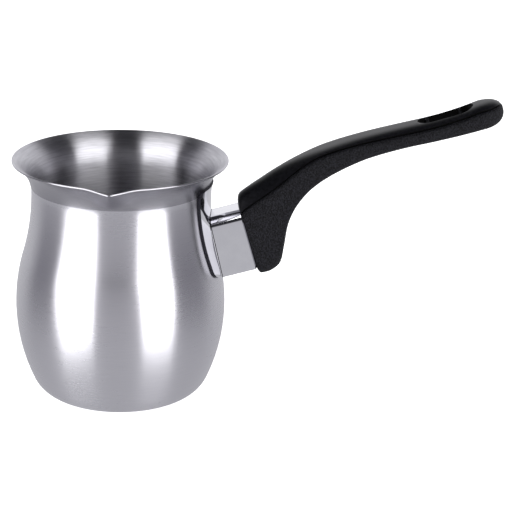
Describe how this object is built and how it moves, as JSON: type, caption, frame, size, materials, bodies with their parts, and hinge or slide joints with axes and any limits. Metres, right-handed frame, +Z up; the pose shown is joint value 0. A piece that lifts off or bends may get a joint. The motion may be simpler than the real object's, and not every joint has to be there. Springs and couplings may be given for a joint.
{
  "type": "turkish coffee pot cezve",
  "caption": "Waisted steel coffee pot with a flared rim, a pinched pouring lip and a long moulded side handle on a polished ferrule.",
  "frame": {"origin": "middle of the base ring on the pot's axis, at table level", "axes": "+Z up along the pot's axis, +X towards the handle, -Y towards the pouring lip"},
  "size_m": [0.2068, 0.0956, 0.1338],
  "materials": {
    "pot_steel": "fine brushing round the pot, inside and out",
    "polished_steel": "mirror polished stainless steel",
    "bracket_steel": "mill finish strip",
    "zinc_steel": "bright zinc plating",
    "spring_steel": "dark spring steel",
    "handle_moulding": "black phenolic, satin along the back and spark textured on the sides"
  },
  "bodies": {
    "root": {"pot_body": "pot_steel", "saddle_flange": "polished_steel", "ferrule_sleeve": "polished_steel", "handle_bracket": "bracket_steel", "spot_welds": "bracket_steel", "weld_nut": "zinc_steel", "handle": "handle_moulding", "handle_screw": "zinc_steel", "flat_washer": "zinc_steel", "spring_washer": "spring_steel"}
  },
  "joints": []
}
